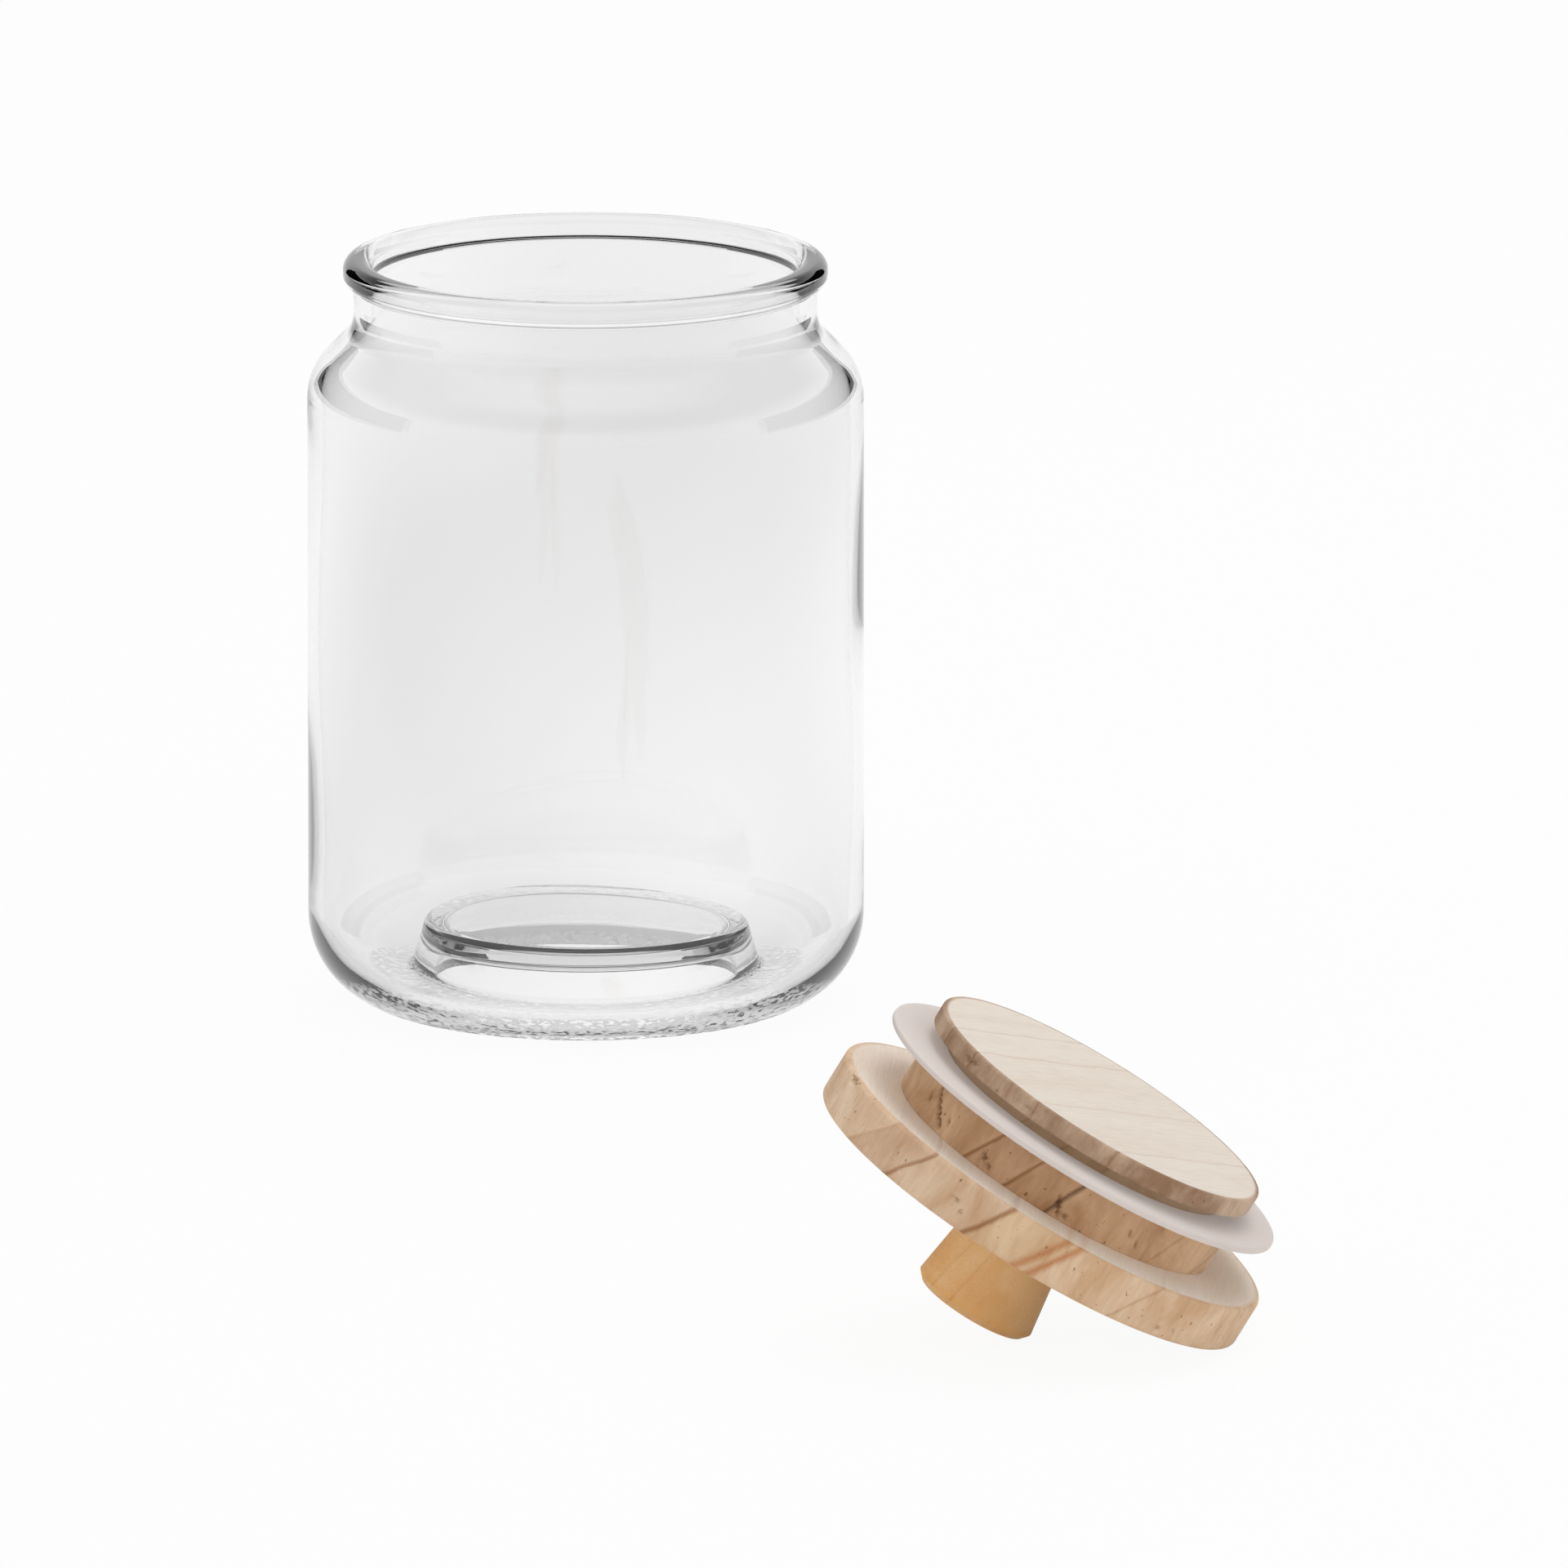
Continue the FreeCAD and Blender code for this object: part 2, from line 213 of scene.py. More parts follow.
# The inside of the wall wavers a little, as blown glass does, fading out towards the rim and the floor
rim_rows = 20
is_inside = (np.arange(len(jar_section)) > np.argmax(jar_section[:, 1]) + rim_rows)[:, None]
above_floor = np.clip((jar_up - waver_bottom) / waver_bottom_fade, 0, 1)
below_neck = np.clip((waver_top - jar_up) / waver_top_fade, 0, 1)
waver = np.sin(2 * jar_angle + 60 * jar_up + 0.7) + 0.6 * np.sin(3 * jar_angle - 95 * jar_up + 2.1)
jar_radius = jar_radius - is_inside * (above_floor * below_neck) * wall_waver * waver

# Stipple dents round the ring that the jar stands on, unevenly spaced
on_ring = jar_up < stipple_height
ring_share = np.exp(-((jar_radius - stipple_radius) / stipple_width) ** 2) * on_ring
dents = 0.5 + 0.5 * np.cos(stipple_count * jar_angle + 40 * np.sin(7 * jar_angle))
jar_up = jar_up + stipple_depth * ring_share * dents

# Clear glass, faintly grey through its thickness, with a slow ripple in its surface and slow clouds
# in its tint. The clouds are painted shading: paler and greyer patches in place of the soft light and
# shade on the glass. The stippled foot is matt in specks, which lets out light that the heel would hold.
# For shadow rays the glass is a clear pane, so that lamps shine through.
glass, glass_shader, glass_output, add, join = new_material("clear_glass")
glass_shader.inputs["IOR"].default_value = 1.5
glass_shader.inputs["Transmission Weight"].default_value = 1.0
glass_place = add("ShaderNodeTexCoord")
ripple = add("ShaderNodeTexNoise")
ripple.inputs["Scale"].default_value = 30.0
ripple.inputs["Detail"].default_value = 1.0
ripple_relief = add("ShaderNodeBump")
ripple_relief.inputs["Strength"].default_value = 0.05
ripple_relief.inputs["Distance"].default_value = 0.002
# Painted shading: these clouds make the glass's grey tint paler and greyer in patches, standing in for
# light and shade on the glass
glass_shading_cloud = add("ShaderNodeTexNoise")
glass_shading_cloud.inputs["Scale"].default_value = 14.0
glass_shading_cloud.inputs["Detail"].default_value = 0.0
glass_tint_and_shading = add("ShaderNodeValToRGB")
glass_tint_and_shading.color_ramp.elements[0].position = 0.3
glass_tint_and_shading.color_ramp.elements[0].color = (0.885, 0.885, 0.885, 1)
glass_tint_and_shading.color_ramp.elements[1].position = 0.7
glass_tint_and_shading.color_ramp.elements[1].color = (0.99, 0.99, 0.99, 1)
foot_axes = add("ShaderNodeSeparateXYZ")
foot_zone = add("ShaderNodeMapRange")
foot_zone.inputs["From Min"].default_value = foot_clear_height
foot_zone.inputs["From Max"].default_value = foot_matt_height
foot_zone.inputs["To Max"].default_value = foot_roughness
foot_specks = add("ShaderNodeTexNoise")
foot_specks.inputs["Scale"].default_value = 700.0
foot_specks.inputs["Detail"].default_value = 1.0
foot_speck_share = add("ShaderNodeMapRange")
foot_speck_share.inputs["From Min"].default_value = 0.38
foot_speck_share.inputs["From Max"].default_value = 0.54
foot_matt = add("ShaderNodeMath", operation="MULTIPLY")
glass_depth = add("ShaderNodeVolumeAbsorption")
glass_depth.inputs["Color"].default_value = (0.2, 0.2, 0.2, 1)
glass_depth.inputs["Density"].default_value = 4.0
glass_path = add("ShaderNodeLightPath")
clear_pane = add("ShaderNodeBsdfTransparent")
clear_pane.inputs["Color"].default_value = (0.95, 0.95, 0.95, 1)
glass_mix = add("ShaderNodeMixShader")
join(glass_place.outputs["Object"], ripple.inputs["Vector"])
join(ripple.outputs["Fac"], ripple_relief.inputs["Height"])
join(ripple_relief.outputs["Normal"], glass_shader.inputs["Normal"])
join(glass_place.outputs["Object"], glass_shading_cloud.inputs["Vector"])
join(glass_shading_cloud.outputs["Fac"], glass_tint_and_shading.inputs["Fac"])
join(glass_tint_and_shading.outputs["Color"], glass_shader.inputs["Base Color"])
join(glass_place.outputs["Object"], foot_axes.inputs["Vector"])
join(foot_axes.outputs["Z"], foot_zone.inputs["Value"])
join(glass_place.outputs["Object"], foot_specks.inputs["Vector"])
join(foot_specks.outputs["Fac"], foot_speck_share.inputs["Value"])
join(foot_zone.outputs["Result"], foot_matt.inputs[0])
join(foot_speck_share.outputs["Result"], foot_matt.inputs[1])
join(foot_matt.outputs["Value"], glass_shader.inputs["Roughness"])
join(glass_path.outputs["Is Shadow Ray"], glass_mix.inputs["Fac"])
join(glass_shader.outputs["BSDF"], glass_mix.inputs[1])
join(clear_pane.outputs["BSDF"], glass_mix.inputs[2])
join(glass_mix.outputs["Shader"], glass_output.inputs["Surface"])
join(glass_depth.outputs["Volume"], glass_output.inputs["Volume"])
jar = turned_mesh("glass_jar_blown", jar_radius, jar_angle, jar_up)
jar.data.materials.append(glass)
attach(jar, "jar")
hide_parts("glass_jar")

# Cover: a disc sawn from a board of pale glued-up staves, sanded, with its edges eased.
# It rests on the rim when the lid is on. Here the lid lies upside down, leaning on the cover's
# edge and the knob.
cover_inset = 1.7 * MM
cover_radius = rim_radius - cover_inset
cover_thickness = 9.2 * MM
cover_round = 0.9 * MM
cover_chamfer = 0.6 * MM
knob_height = 19.8 * MM
knob_end_radius = 12.0 * MM
knob_chamfer = 1.4 * MM
lid_across = 86.6 * MM
lid_forward = 290.2 * MM
lid_turn = math.radians(2.9)

# The lid's own frame: height zero on the cover's inner face, and up towards the inside of the jar
cover_touch = cover_radius - cover_chamfer
lid_tilt = math.atan2(knob_height, cover_touch - (knob_end_radius - knob_chamfer))
lid_place = np.array([lid_across, -lid_forward,
                      cover_touch * math.sin(lid_tilt) + cover_thickness * math.cos(lid_tilt)])
turning = np.array([[math.cos(lid_turn), math.sin(lid_turn), 0],
                    [-math.sin(lid_turn), math.cos(lid_turn), 0],
                    [0, 0, 1]])
leaning = np.array([[math.cos(lid_tilt), 0, math.sin(lid_tilt)],
                    [0, 1, 0],
                    [-math.sin(lid_tilt), 0, math.cos(lid_tilt)]])
lid_to_frame = (turning @ leaning, lid_place)


def torn(angle, height, tears):
    """How deep the edge is torn at each point.

    The depth is a sum of small bells in angle and height that lean and have a ragged outline.
    A tear is (azimuth in degrees, height, half width in degrees, half height, depth).
    """
    lean, steepness = 12, 1.5
    coarse, fine = np.sin(61 * angle + 9000 * height), np.sin(137 * angle - 5200 * height)
    ragged = 1 + 0.35 * coarse + 0.25 * fine
    depth = 0 * angle + 0 * height
    for azimuth, up, wide, tall, deep in tears:
        aside = np.angle(np.exp(1j * (angle - math.radians(azimuth)))) + lean * (height - up)
        bell = (aside * ragged / math.radians(wide)) ** 2 + ((height - up) / tall) ** 2
        depth = depth + deep * np.exp(-bell ** steepness)
    return depth


def turned_board(name, corners, tears, looped=False, around=720):
    """A turned piece of the lid, in the lid's own frame, put where the lid lies.

    Its edge's radius is the section's less the torn depth. That depth, in millimetres, stays with
    the mesh for its material to darken, as painted shade in the torn hollows.
    """
    face_spacing, rim_spacing = 3.0 * MM, 0.45 * MM
    section = spaced(rounded_section(corners, math.radians(15)), face_spacing, rim_spacing)
    angle = np.linspace(0, 2 * math.pi, around, endpoint=False)[None, :]
    height = section[:, 1:] + 0 * angle
    at_edge = section[:, :1] > edge_share * section[:, 0].max()
    depth = torn(angle, height, tears) * at_edge
    piece = turned_mesh(name, section[:, :1] - depth, angle, height, looped, lid_to_frame)
    stored = piece.data.attributes.new("torn_depth", "FLOAT", "POINT")
    values = np.zeros(len(piece.data.vertices), np.float32)
    values[:depth.size] = depth.ravel() / MM
    stored.data.foreach_set("value", values)
    return piece


def lid_wood(name, face, shade, edge, edge_shade, radius, grain, slant, marks):
    """Sawn pale wood in the lid's own frame.

    Colour is two noises stretched along the grain, times a ramp across the staves that holds each
    stave's tint and the thin dark joints. Close to the radius it turns to the darker end grain of
    the edge, and torn places go brown, the more so the deeper they are, which is painted shade in
    their hollows. A mark is (distance across the staves, half width, joint colour, next stave's
    tint), and slant tips the marks through the thickness.
    """
    edge_begins, edge_full = 0.965 * radius, 0.985 * radius
    ramp_reach = 1.2 * radius
    joint_wander = 2.0 * MM
    face_joint_strength = 0.35
    material, shader, _, add, join = new_material(name)
    place = add("ShaderNodeTexCoord")
    local = add("ShaderNodeMapping", vector_type="TEXTURE")
    local.inputs["Location"].default_value = lid_place.tolist()
    local.inputs["Rotation"].default_value = (0, lid_tilt, -lid_turn)
    along = add("ShaderNodeMapping", vector_type="TEXTURE")
    along.inputs["Rotation"].default_value = (0, 0, math.radians(grain))
    join(place.outputs["Object"], local.inputs["Vector"])
    join(local.outputs["Vector"], along.inputs["Vector"])

    def streaks(scale, detail, rough, bend):
        stretch = add("ShaderNodeMapping")
        stretch.inputs["Scale"].default_value = scale
        noise = add("ShaderNodeTexNoise")
        noise.inputs["Scale"].default_value = 1.0
        noise.inputs["Detail"].default_value = detail
        noise.inputs["Roughness"].default_value = rough
        noise.inputs["Distortion"].default_value = bend
        join(along.outputs["Vector"], stretch.inputs["Vector"])
        join(stretch.outputs["Vector"], noise.inputs["Vector"])
        return noise.outputs["Fac"]

    figure = streaks((9, 150, 110), 2, 0.5, 0.5)
    fibre = streaks((110, 2200, 2200), 3, 0.6, 0.1)
    blotch = streaks((70, 110, 60), 4, 0.6, 0.5)
    saw_lines = streaks((900, 900, 130), 3, 0.6, 0.3)
    pits = streaks((1100, 1100, 900), 1, 0.5, 0.0)

    def blended(first, second, factor, low, high):
        ramp = add("ShaderNodeValToRGB")
        ramp.color_ramp.elements[0].position = low
        ramp.color_ramp.elements[0].color = first
        ramp.color_ramp.elements[1].position = high
        ramp.color_ramp.elements[1].color = second
        join(factor, ramp.inputs["Fac"])
        return ramp.outputs["Color"]

    def mixed(kind, factor, first, second):
        mix = add("ShaderNodeMix", data_type="RGBA", blend_type=kind)
        if isinstance(factor, float):
            mix.inputs["Factor"].default_value = factor
        else:
            join(factor, mix.inputs["Factor"])
        join(first, mix.inputs[6])
        join(second, mix.inputs[7])
        return mix.outputs[2]

    white, umber, pale_umber = (1, 1, 1, 1), (0.42, 0.3, 0.2, 1), (0.78, 0.7, 0.62, 1)
    board = blended(shade, face, figure, 0.3, 0.6)
    board = mixed("MULTIPLY", 0.3, board, blended(pale_umber, white, fibre, 0.3, 0.55))

    # End grain: darker and mottled, with saw lines and a few open pits
    rind = blended(edge_shade, edge, blotch, 0.36, 0.64)
    rind = mixed("MULTIPLY", 0.35, rind, blended(pale_umber, white, saw_lines, 0.34, 0.56))
    rind = mixed("MULTIPLY", 0.8, rind, blended(umber, white, pits, 0.22, 0.29))
    flat = add("ShaderNodeVectorMath", operation="MULTIPLY")
    flat.inputs[1].default_value = (1, 1, 0)
    reach = add("ShaderNodeVectorMath", operation="LENGTH")
    at_edge = add("ShaderNodeMapRange")
    at_edge.inputs["From Min"].default_value = edge_begins
    at_edge.inputs["From Max"].default_value = edge_full
    join(local.outputs["Vector"], flat.inputs[0])
    join(flat.outputs["Vector"], reach.inputs[0])
    join(reach.outputs["Value"], at_edge.inputs["Value"])
    wood = mixed("MIX", at_edge.outputs["Result"], board, rind)

    # Staves, joints and streaks, tipped through the thickness
    axes = add("ShaderNodeSeparateXYZ")
    tipped = add("ShaderNodeMath", operation="MULTIPLY_ADD")
    tipped.inputs[1].default_value = slant
    wander = add("ShaderNodeMath", operation="MULTIPLY_ADD")
    wander.inputs[1].default_value = joint_wander
    across = add("ShaderNodeMapRange")
    across.inputs["From Min"].default_value = -ramp_reach
    across.inputs["From Max"].default_value = ramp_reach
    join(along.outputs["Vector"], axes.inputs["Vector"])
    join(axes.outputs["Z"], tipped.inputs[0])
    join(axes.outputs["Y"], tipped.inputs[2])
    join(blotch, wander.inputs[0])
    join(tipped.outputs["Value"], wander.inputs[2])
    join(wander.outputs["Value"], across.inputs["Value"])
    ramp = add("ShaderNodeValToRGB")
    stops = ramp.color_ramp.elements
    tint = white
    stops[0].color = tint
    for distance, half_width, joint, next_tint in sorted(marks):
        middle = distance + joint_wander / 2
        band = ((middle - half_width, tint), (middle, joint), (middle + half_width, next_tint))
        for position, colour in band:
            stops.new(0.5 + position / (2 * ramp_reach)).color = colour
        tint = next_tint
    stops[len(stops) - 1].color = tint
    join(across.outputs["Result"], ramp.inputs["Fac"])
    joint_strength = add("ShaderNodeMapRange")
    joint_strength.inputs["To Min"].default_value = face_joint_strength
    join(at_edge.outputs["Result"], joint_strength.inputs["Value"])
    wood = mixed("MULTIPLY", joint_strength.outputs["Result"], wood, ramp.outputs["Color"])

    # Torn places are rough, and brown that deepens with the tear's depth: painted shade in the hollows
    tear = add("ShaderNodeAttribute", attribute_name="torn_depth")
    wood = mixed("MULTIPLY", 1.0, wood, blended(white, umber, tear.outputs["Fac"], 0.1, 0.8))
    join(wood, shader.inputs["Base Color"])

    roughness = add("ShaderNodeMapRange")
    roughness.inputs["To Min"].default_value = 0.5
    roughness.inputs["To Max"].default_value = 0.75
    join(fibre, roughness.inputs["Value"])
    join(roughness.outputs["Result"], shader.inputs["Roughness"])
    shader.inputs["Specular IOR Level"].default_value = 0.3
    relief = add("ShaderNodeBump")
    relief.inputs["Strength"].default_value = 0.3
    relief.inputs["Distance"].default_value = 0.0003
    join(mixed("MIX", at_edge.outputs["Result"], fibre, saw_lines), relief.inputs["Height"])
    join(relief.outputs["Normal"], shader.inputs["Normal"])
    return material


brown_joint = (0.42, 0.24, 0.12, 1)
brown_streak = (0.7, 0.42, 0.24, 1)
faint_joint = (0.8, 0.7, 0.6, 1)
plain, creamy, tawny = (1, 1, 1, 1), (1, 0.99, 0.96, 1), (0.91, 0.88, 0.85, 1)
rosy, golden = (0.88, 0.83, 0.81, 1), (0.92, 0.87, 0.77, 1)
# The staves' tints are partly their own colours and partly painted light: they run from rosy to creamy
# towards the right-hand staves, paler as if lit from that side.
cover_wood = lid_wood(
    "cover_wood", face=tone(252, 240, 226), shade=tone(246, 231, 213),
    edge=tone(246, 218, 188), edge_shade=tone(222, 182, 144), radius=cover_radius, grain=-90, slant=-0.7,
    marks=[(-31 * MM, 0.5 * MM, faint_joint, rosy), (-22.6 * MM, 0.6 * MM, brown_joint, tawny),
           (-5.8 * MM, 0.9 * MM, brown_joint, golden), (5.4 * MM, 1.6 * MM, brown_streak, golden),
           (8.2 * MM, 1.4 * MM, brown_streak, creamy), (25 * MM, 0.5 * MM, faint_joint, creamy)])
cover = turned_board("cover_board", [
    (axis_gap, -cover_thickness, 0),
    (cover_radius, -cover_thickness, cover_round),
    (cover_radius, 0, cover_round),
    (axis_gap, 0, 0),
], tears=[(-160, -0.8 * MM, 2.4, 0.7 * MM, 0.6 * MM), (-111, -4.5 * MM, 0.8, 0.5 * MM, 0.5 * MM),
          (-109, -6.0 * MM, 0.6, 0.4 * MM, 0.4 * MM), (-50, -7.2 * MM, 0.7, 0.5 * MM, 0.5 * MM),
          (-45, -6.8 * MM, 0.6, 0.4 * MM, 0.4 * MM)])
cover.data.materials.append(cover_wood)
# The lid's pieces are hidden from mirror reflections, which would streak the glass with brown
cover.visible_glossy = False
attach(cover, "lid")
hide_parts("lid_cover")

# Knob: a small peg turned from the same pale wood, oiled warmer, wider at its free end, with a
# chamfered end edge. It is glued to the middle of the cover's outer face and pulled tight by the
# screw.
knob_flare = 2.8 * MM
knob_softening = 0.25 * MM
knob_foot_round = 0.1 * MM
knob_wood = lid_wood(
    "knob_wood", face=tone(250, 204, 148), shade=tone(244, 188, 122),
    edge=tone(252, 198, 132), edge_shade=tone(242, 182, 106), radius=knob_end_radius,
    grain=-90, slant=-0.2,
    marks=[(-3.4 * MM, 0.35 * MM, faint_joint, plain), (0.6 * MM, 0.4 * MM, faint_joint, plain)])
knob_end = -cover_thickness - knob_height
knob = turned_board("turned_knob", [
    (axis_gap, knob_end, 0),
    (knob_end_radius - knob_chamfer, knob_end, knob_softening),
    (knob_end_radius - knob_flare * knob_chamfer / knob_height, knob_end + knob_chamfer, knob_softening),
    (knob_end_radius - knob_flare, -cover_thickness, knob_foot_round),
    (axis_gap, -cover_thickness, 0),
], tears=[], around=360)
knob.data.materials.append(knob_wood)
knob.visible_glossy = False
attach(knob, "lid")
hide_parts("knob")

# Screw: a zinc-plated countersunk wood screw that draws the knob to the cover, hidden once the plug
# is glued on. Its shape is the solid's own, and only its plating is made here.
plating, plating_shader, _, add, join = new_material("zinc_plating")
plating_place = add("ShaderNodeTexCoord")
plating_cloud = add("ShaderNodeTexNoise")
plating_cloud.inputs["Scale"].default_value = 900.0
plating_tint = add("ShaderNodeValToRGB")
plating_tint.color_ramp.elements[0].color = tone(168, 170, 172)
plating_tint.color_ramp.elements[1].color = tone(206, 207, 204)
plating_gloss = add("ShaderNodeMapRange")
plating_gloss.inputs["To Min"].default_value = 0.25
plating_gloss.inputs["To Max"].default_value = 0.45
plating_shader.inputs["Metallic"].default_value = 1.0
join(plating_place.outputs["Object"], plating_cloud.inputs["Vector"])
join(plating_cloud.outputs["Fac"], plating_tint.inputs["Fac"])
join(plating_cloud.outputs["Fac"], plating_gloss.inputs["Value"])
join(plating_tint.outputs["Color"], plating_shader.inputs["Base Color"])
join(plating_gloss.outputs["Result"], plating_shader.inputs["Roughness"])
screw_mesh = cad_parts["knob_screw"].data
screw_mesh.materials.clear()
screw_mesh.materials.append(plating)

# Plug: the thicker disc glued under the cover, sawn from a coarser board whose edge tore out in places.
# Its far end is turned down to a spigot that carries the sealing ring.
plug_gap = 7.6 * MM
plug_radius = mouth_radius - plug_gap
plug_height = 9.6 * MM
plug_round = 0.3 * MM
sawn_round = 0.2 * MM
spigot_step = 3.8 * MM
spigot_radius = plug_radius - spigot_step
ring_thickness = 1.2 * MM
ring_play = 2.4 * MM
spigot_end = plug_height + ring_thickness + ring_play
dark_notch, dusky = (0.2, 0.12, 0.07, 1), (0.82, 0.76, 0.7, 1)
# The staves' tints are partly their own colours and partly painted light: the left and middle staves are
# rosy and dusky, and the right-hand ones plain and creamy, paler as if lit from that side.
plug_wood = lid_wood(
    "plug_wood", face=tone(206, 176, 144), shade=tone(188, 152, 116),
    edge=tone(230, 194, 156), edge_shade=tone(192, 148, 108), radius=plug_radius, grain=-90, slant=-0.53,
    marks=[(-17.9 * MM, 0.5 * MM, brown_joint, rosy), (-9.2 * MM, 0.5 * MM, brown_joint, dusky),
           (-0.6 * MM, 0.7 * MM, dark_notch, plain), (20.7 * MM, 0.4 * MM, faint_joint, plain),
           (29.4 * MM, 0.4 * MM, faint_joint, creamy)])
plug = turned_board("plug_board", [
    (axis_gap, 0, 0),
    (plug_radius, 0, sawn_round),
    (plug_radius, plug_height, plug_round),
    (spigot_radius, plug_height, sawn_round),
    (spigot_radius, spigot_end, sawn_round),
    (axis_gap, spigot_end, 0),
], tears=[(-146, 6.4 * MM, 0.8, 1.0 * MM, 0.7 * MM), (-143.5, 4.6 * MM, 0.7, 1.3 * MM, 0.9 * MM),
          (-141, 3.0 * MM, 0.9, 1.1 * MM, 0.9 * MM), (-138.5, 1.6 * MM, 0.8, 0.9 * MM, 0.8 * MM),
          (-135.5, 3.2 * MM, 0.6, 0.9 * MM, 0.6 * MM), (-149, 4.0 * MM, 0.6, 1.0 * MM, 0.6 * MM),
          (-117, 2.4 * MM, 0.8, 0.9 * MM, 0.7 * MM), (-114, 1.3 * MM, 0.7, 0.7 * MM, 0.6 * MM),
          (-88, 2.4 * MM, 0.8, 2.0 * MM, 0.8 * MM), (-84.5, 1.2 * MM, 1.2, 0.6 * MM, 0.6 * MM),
          (-62, 4.0 * MM, 0.6, 0.9 * MM, 0.5 * MM), (-58, 2.5 * MM, 0.5, 0.8 * MM, 0.5 * MM)])
plug.data.materials.append(plug_wood)
plug.visible_glossy = False
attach(plug, "lid")
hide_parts("lid_plug")

# Sealing ring: a flat ring punched from milky silicone sheet, lying loose round the spigot.
# It is a little wider than the mouth, so that it bends and seals when the lid is pressed in.
ring_slack = 0.3 * MM
ring_squeeze = 0.2 * MM
ring_inside = spigot_radius + ring_slack
ring_outside = mouth_radius + ring_squeeze
ring_round = 0.4 * MM
ring_punched_round = 0.1 * MM
ring_seam = 0.1 * MM
silicone, silicone_shader, _, add, join = new_material("milky_silicone")
silicone_place = add("ShaderNodeTexCoord")
silicone_cloud = add("ShaderNodeTexNoise")
silicone_cloud.inputs["Scale"].default_value = 60.0
silicone_cloud.inputs["Detail"].default_value = 3.0
silicone_tint = add("ShaderNodeValToRGB")
silicone_tint.color_ramp.elements[0].color = tone(222, 210, 204)
silicone_tint.color_ramp.elements[1].color = tone(234, 224, 218)
silicone_grain = add("ShaderNodeTexNoise")
silicone_grain.inputs["Scale"].default_value = 2500.0
silicone_relief = add("ShaderNodeBump")
silicone_relief.inputs["Strength"].default_value = 0.08
silicone_relief.inputs["Distance"].default_value = 0.0002
silicone_shader.inputs["Roughness"].default_value = 0.42
silicone_shader.inputs["Subsurface Weight"].default_value = 0.35
silicone_shader.inputs["Subsurface Radius"].default_value = (1.0, 0.85, 0.7)
silicone_shader.inputs["Subsurface Scale"].default_value = 0.0015
join(silicone_place.outputs["Object"], silicone_cloud.inputs["Vector"])
join(silicone_place.outputs["Object"], silicone_grain.inputs["Vector"])
join(silicone_cloud.outputs["Fac"], silicone_tint.inputs["Fac"])
join(silicone_tint.outputs["Color"], silicone_shader.inputs["Base Color"])
join(silicone_grain.outputs["Fac"], silicone_relief.inputs["Height"])
join(silicone_relief.outputs["Normal"], silicone_shader.inputs["Normal"])
ring_top = plug_height + ring_thickness
ring_middle = plug_height + ring_thickness / 2
ring = turned_board("silicone_ring", [
    (ring_inside, ring_middle, 0),
    (ring_inside, plug_height, ring_punched_round),
    (ring_outside, plug_height, ring_round),
    (ring_outside, ring_top, ring_round),
    (ring_inside, ring_top, ring_punched_round),
    (ring_inside, ring_middle + ring_seam, 0),
], tears=[], looped=True, around=360)
ring.data.materials.append(silicone)
ring.visible_glossy = False
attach(ring, "lid")
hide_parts("sealing_ring")

# Retainer: a thin disc of pale edge-glued staves on the spigot's end, which keeps the ring on.
# Its face is planed and sanded, with fine glue lines, and its edge is sawn.
retainer_overhang = 1.0 * MM
retainer_radius = plug_radius + retainer_overhang
retainer_thickness = 3.6 * MM
retainer_top = spigot_end + retainer_thickness
retainer_under_round = 0.35 * MM
retainer_face_round = 0.45 * MM
glue_line = (0.66, 0.48, 0.34, 1)
retainer_wood = lid_wood(
    "retainer_wood", face=tone(244, 233, 220), shade=tone(239, 226, 211),
    edge=tone(214, 186, 160), edge_shade=tone(160, 124, 96), radius=retainer_radius, grain=61.5, slant=0.0,
    marks=[(-20.1 * MM, 0.35 * MM, glue_line, plain), (-4.7 * MM, 0.35 * MM, glue_line, plain),
           (11.9 * MM, 0.35 * MM, glue_line, plain), (20.5 * MM, 0.35 * MM, glue_line, plain)])
retainer = turned_board("retainer_board", [
    (axis_gap, spigot_end, 0),
    (retainer_radius, spigot_end, retainer_under_round),
    (retainer_radius, retainer_top, retainer_face_round),
    (axis_gap, retainer_top, 0),
], tears=[(-141, spigot_end + 1.5 * MM, 1.6, 0.6 * MM, 0.5 * MM),
          (-138, spigot_end + 1.9 * MM, 1.2, 0.5 * MM, 0.5 * MM),
          (-112, spigot_end + 1.6 * MM, 2.2, 0.5 * MM, 0.35 * MM)])
retainer.data.materials.append(retainer_wood)
retainer.visible_glossy = False
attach(retainer, "lid")
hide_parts("lid_retainer")

# Floor: a wide sheet of matt white paper under the jar and the lid.
# It glows for the camera and for the glass, so that it reads as plain white, and the rest of it is
# plain paper that takes a soft shadow.
floor_half = 6.0
paper_glow_share = 0.93
paper, paper_shader, paper_output, add, join = new_material("white_paper")
paper_shader.inputs["Base Color"].default_value = (0.9, 0.9, 0.9, 1)
paper_shader.inputs["Roughness"].default_value = 1.0
paper_shader.inputs["Specular IOR Level"].default_value = 0.0
paper_glow = add("ShaderNodeEmission")
paper_glow.inputs["Strength"].default_value = 1.0
paper_path = add("ShaderNodeLightPath")
paper_mix = add("ShaderNodeMixShader")
seen = paper_path.outputs["Is Camera Ray"]
for way in ("Is Glossy Ray", "Is Transmission Ray"):
    either = add("ShaderNodeMath", operation="MAXIMUM")
    join(seen, either.inputs[0])
    join(paper_path.outputs[way], either.inputs[1])
    seen = either.outputs["Value"]
paper_share = add("ShaderNodeMath", operation="MULTIPLY")
paper_share.inputs[1].default_value = paper_glow_share
join(seen, paper_share.inputs[0])
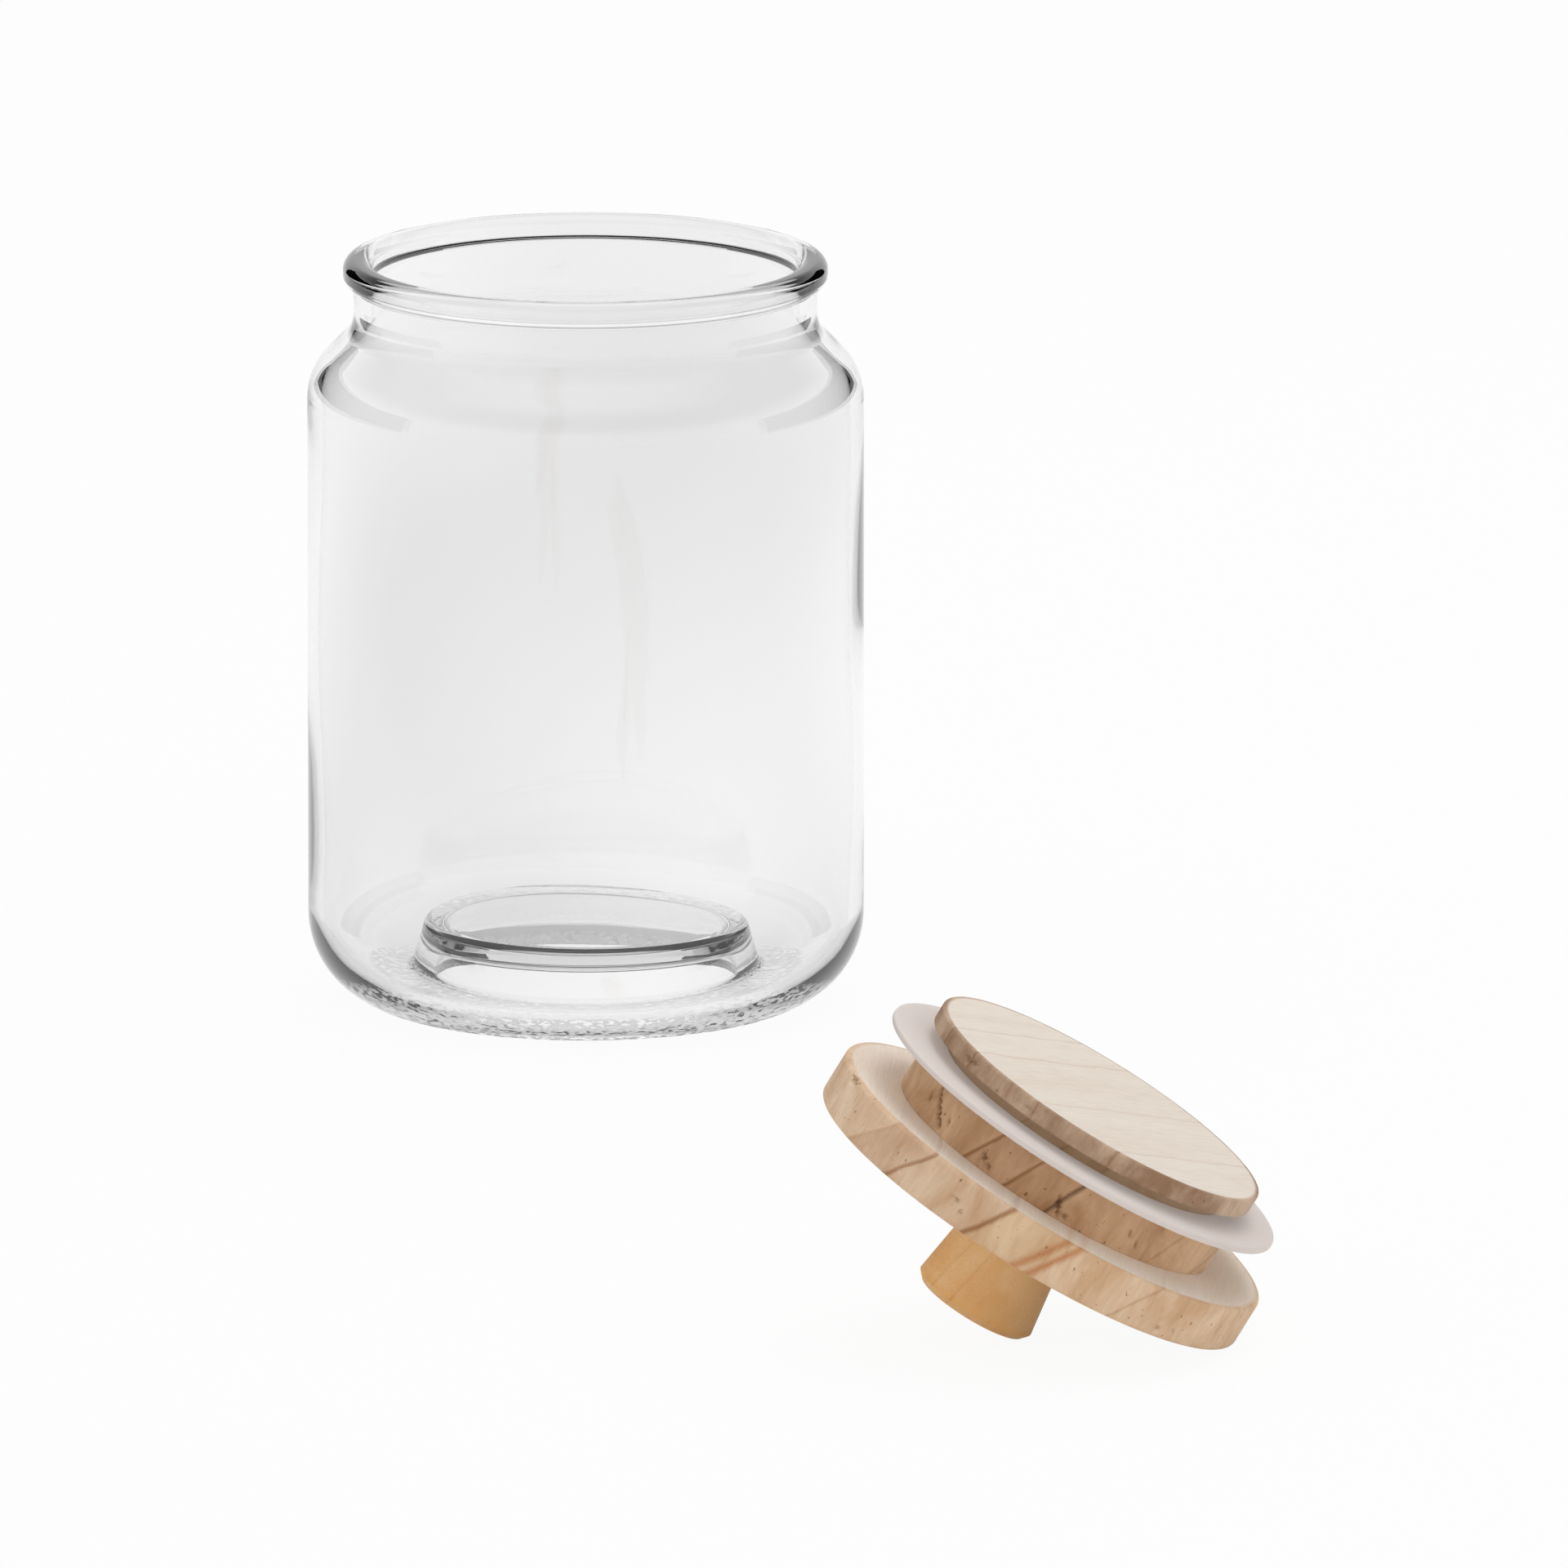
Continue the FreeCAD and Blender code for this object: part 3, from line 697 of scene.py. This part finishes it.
join(paper_share.outputs["Value"], paper_mix.inputs["Fac"])
join(paper_shader.outputs["BSDF"], paper_mix.inputs[1])
join(paper_glow.outputs["Emission"], paper_mix.inputs[2])
join(paper_mix.outputs["Shader"], paper_output.inputs["Surface"])
floor_mesh = bpy.data.meshes.new("paper_floor")
floor_corners = floor_half * np.array([[-1, -1, 0], [1, -1, 0], [1, 1, 0], [-1, 1, 0]])
floor_mesh.from_pydata(floor_corners.tolist(), [], [[0, 1, 2, 3]])
floor = bpy.data.objects.new("paper_floor", floor_mesh)
bpy.context.scene.collection.objects.link(floor)
floor_mesh.materials.append(paper)

# Dark cards: two low curved cards of matt black, behind the jar and to its sides, out of the picture.
# The rim's and the shoulder's ends bend their view out to them, which draws their dark lines.
card_distance = 2.0
card_height = 0.75
card_near, card_far = math.radians(24), math.radians(100)
card_points_along = 21
card_black, card_shader, _, add, join = new_material("matt_black_card")
card_shader.inputs["Roughness"].default_value = 1.0
card_shader.inputs["Specular IOR Level"].default_value = 0.0
card_place = add("ShaderNodeTexCoord")
card_fibre = add("ShaderNodeTexNoise")
card_fibre.inputs["Scale"].default_value = 200.0
card_tint = add("ShaderNodeValToRGB")
card_tint.color_ramp.elements[0].color = (0.008, 0.008, 0.008, 1)
card_tint.color_ramp.elements[1].color = (0.02, 0.02, 0.02, 1)
join(card_place.outputs["Object"], card_fibre.inputs["Vector"])
join(card_fibre.outputs["Fac"], card_tint.inputs["Fac"])
join(card_tint.outputs["Color"], card_shader.inputs["Base Color"])
# A strip of an upright cylinder: the angle goes along the card, and its two rows are its lower and
# upper edge. The second card is the first with its sides swapped.
card_swing = np.linspace(card_near, card_far, card_points_along)
card_foot = np.stack([np.sin(card_swing), np.cos(card_swing), 0 * card_swing], axis=1) * card_distance
card_points = np.vstack([card_foot, card_foot + [0, 0, card_height]])
card_faces = np.arange(card_points_along - 1)[:, None] + [0, 1, card_points_along + 1, card_points_along]
card_faces = np.vstack([card_faces, card_faces + len(card_points)])
card_points = np.vstack([card_points, card_points * [-1, 1, 1]])
card_mesh = bpy.data.meshes.new("dark_card")
card_mesh.from_pydata(card_points.tolist(), [], card_faces.tolist())
card_mesh.materials.append(card_black)
card = bpy.data.objects.new("dark_card", card_mesh)
card.visible_camera = False
bpy.context.scene.collection.objects.link(card)

# Studio: white all round near the table, a dimmer ceiling, and a bright patch straight overhead.
# Matt surfaces are lit by an even pale grey instead, so that the palest wood does not clip.
dim_ceiling = (0.25, 0.25, 0.25, 1)
even_light = (0.75, 0.75, 0.75, 1)
world = bpy.data.worlds.new("studio")
bpy.context.scene.world = world
world.use_nodes = True
world_nodes, world_link = world.node_tree.nodes, world.node_tree.links.new
sky = world_nodes["Background"]
sky.inputs["Strength"].default_value = 1.0
sky_place = world_nodes.new("ShaderNodeTexCoord")
sky_axes = world_nodes.new("ShaderNodeSeparateXYZ")
sky_ramp = world_nodes.new("ShaderNodeValToRGB")
sky_stops = sky_ramp.color_ramp.elements
sky_stops[0].position, sky_stops[0].color = 0.30, (1, 1, 1, 1)
sky_stops[1].position, sky_stops[1].color = 0.55, dim_ceiling
sky_stops.new(0.78).color = dim_ceiling
sky_stops.new(0.97).color = (1, 1, 1, 1)
sky_path = world_nodes.new("ShaderNodeLightPath")
sky_mix = world_nodes.new("ShaderNodeMix")
sky_mix.data_type = "RGBA"
sky_mix.inputs[7].default_value = even_light
world_link(sky_place.outputs["Generated"], sky_axes.inputs["Vector"])
world_link(sky_axes.outputs["Z"], sky_ramp.inputs["Fac"])
world_link(sky_path.outputs["Is Diffuse Ray"], sky_mix.inputs["Factor"])
world_link(sky_ramp.outputs["Color"], sky_mix.inputs[6])
world_link(sky_mix.outputs[2], sky.inputs["Color"])


def soft_lamp(name, place, aim, across, watts):
    """A square lamp of the given width, turned so that its face looks at the aim."""
    light = bpy.data.lights.new(name, "AREA")
    light.size = across
    light.energy = watts
    lamp = bpy.data.objects.new(name, light)
    lamp.location = place
    way = np.array(aim) - np.array(place)
    flat = math.hypot(way[0], way[1])
    lamp.rotation_euler = (math.atan2(flat, -way[2]), 0, math.atan2(way[1], way[0]) - math.pi / 2)
    lamp.visible_glossy = False
    lamp.visible_transmission = False
    bpy.context.scene.collection.objects.link(lamp)


soft_lamp("ceiling_box", place=(0.6, 0.2, 1.6), aim=(0.05, -0.15, 0.0), across=0.9, watts=7.0)

# Camera: a long lens, a little above the rim and far in front, at the photograph's angle.
# Its place and dip were fitted to the ellipses of the jar in the photograph.
camera_place = (0.0374, -7.8311, 1.7025)
camera_dip = 0.2090
camera_data = bpy.data.cameras.new("long_lens")
camera_data.sensor_width = 36.0
camera_data.lens = 973.4
camera_data.clip_end = 50.0
camera = bpy.data.objects.new("long_lens", camera_data)
camera.location = camera_place
camera.rotation_euler = (math.pi / 2 - camera_dip, 0, 0)
bpy.context.scene.collection.objects.link(camera)
bpy.context.scene.camera = camera
bpy.context.scene.view_settings.view_transform = "Standard"
